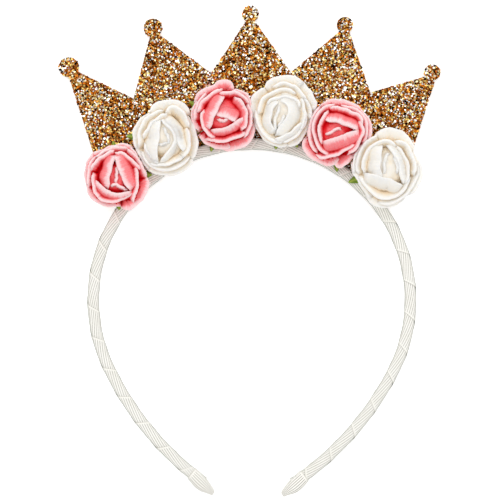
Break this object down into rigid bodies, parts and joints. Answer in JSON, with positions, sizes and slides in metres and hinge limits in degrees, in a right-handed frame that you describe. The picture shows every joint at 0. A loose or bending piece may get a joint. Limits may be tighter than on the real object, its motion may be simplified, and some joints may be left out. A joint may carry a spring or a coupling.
{
  "type": "mini crown headband",
  "caption": "Child's ribbon-wound headband with a glitter crown of pointed tips and a row of foam roses along its top, worn over the head.",
  "frame": {"origin": "on the surface it lies on, under the middle of the headband's outline", "axes": "+X to the right seen from the front, +Y up the crown away from the ends, +Z out through the roses"},
  "size_m": [0.1528, 0.1956, 0.0223],
  "materials": {
    "ribbon_ivory": "ribbed satin ribbon, wound and lapped",
    "glitter_gold": "chunky gold glitter on a felt-backed sheet",
    "rose_pink": "soft matte foam, paler at the rims",
    "rose_white": "soft matte foam",
    "leaf_green": "matte olive-green paper"
  },
  "bodies": {
    "root": {"band": "ribbon_ivory", "end_cover_left": "ribbon_ivory", "end_cover_right": "ribbon_ivory", "crown": "glitter_gold", "rose_1": "rose_pink", "calyx_1": "leaf_green", "rose_2": "rose_white", "calyx_2": "leaf_green", "rose_3": "rose_pink", "calyx_3": "leaf_green", "rose_4": "rose_white", "calyx_4": "leaf_green", "rose_5": "rose_pink", "calyx_5": "leaf_green", "rose_6": "rose_white", "calyx_6": "leaf_green"}
  },
  "joints": []
}
